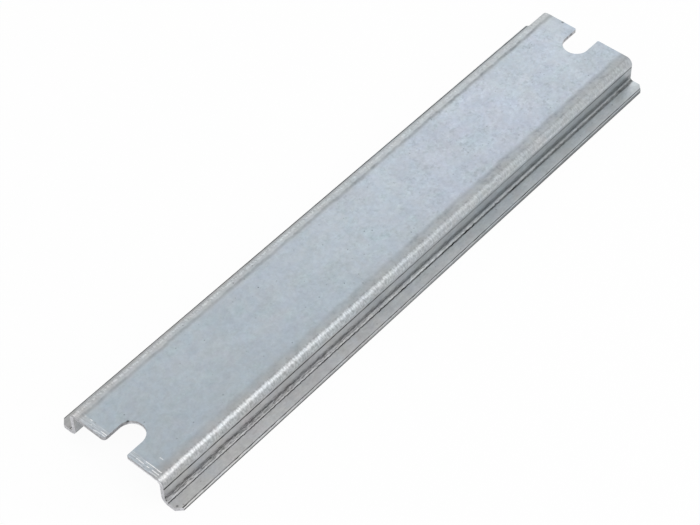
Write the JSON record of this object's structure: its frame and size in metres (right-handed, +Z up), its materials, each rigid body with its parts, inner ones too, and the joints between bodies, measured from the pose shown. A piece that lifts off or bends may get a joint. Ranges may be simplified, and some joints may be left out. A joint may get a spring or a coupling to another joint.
{
  "type": "din rail",
  "caption": "Short top-hat mounting rail, roll-formed from zinc-plated steel strip, with an open screw slot in the web at each end and trimmed flange corners.",
  "frame": {"origin": "on the floor under the middle of the rail, as it lies with its flanges down and its web up", "axes": "+X along the rail, +Y across it, +Z up from the floor towards the web's outer face"},
  "size_m": [0.16, 0.035, 0.0075],
  "materials": {
    "zinc_plated_steel": "zinc plated and pale blue passivated, satin"
  },
  "bodies": {
    "root": {"rail": "zinc_plated_steel"}
  },
  "joints": []
}
